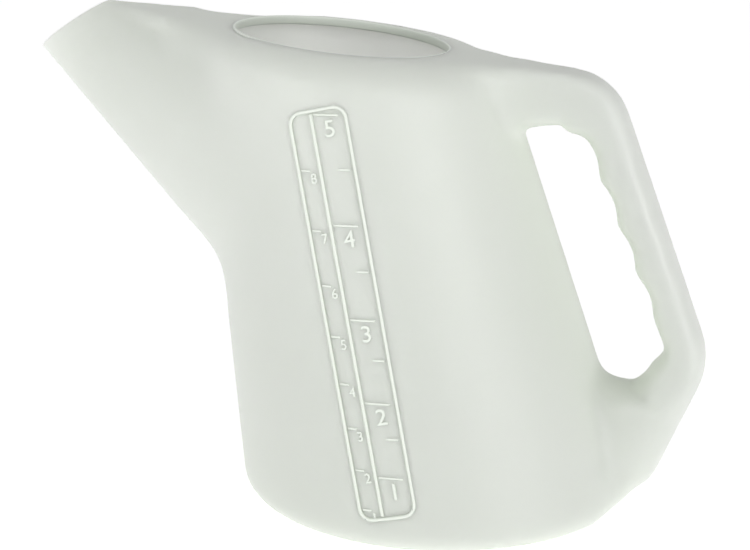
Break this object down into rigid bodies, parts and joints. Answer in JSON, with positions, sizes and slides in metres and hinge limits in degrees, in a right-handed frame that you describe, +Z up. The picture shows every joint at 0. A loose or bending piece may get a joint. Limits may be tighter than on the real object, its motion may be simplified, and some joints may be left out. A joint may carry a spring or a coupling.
{
  "type": "measuring jug",
  "caption": "Blow-moulded measuring jug with a wide slanted mouth, a fixed tapered spout, a hollow handle with finger hollows, and a sunk scale strip.",
  "frame": {"origin": "middle of the foot, on the plane that the jug stands on", "axes": "+Z up, +X towards the handle, -X towards the spout, the scale on the -Y side"},
  "size_m": [0.3505, 0.2016, 0.2464],
  "materials": {
    "milky_polythene": "satin, milky and slightly translucent",
    "scale_strip": "satin, a little clearer than the body",
    "raised_marks": "satin, same plastic, moulded proud"
  },
  "bodies": {
    "root": {"base_pan": "milky_polythene", "body_wall": "milky_polythene", "top_deck": "milky_polythene", "mouth_rim": "milky_polythene", "spout_wall": "milky_polythene", "spout_lip": "milky_polythene", "handle_arm": "milky_polythene", "handle_grip": "milky_polythene", "handle_root": "milky_polythene", "scale_strip": "scale_strip", "scale_frame": "raised_marks", "scale_divider": "raised_marks", "litre_marks": "raised_marks", "half_litre_marks": "raised_marks", "litre_numbers": "raised_marks", "pint_marks": "raised_marks", "pint_numbers": "raised_marks", "mould_seam": "raised_marks"}
  },
  "joints": []
}
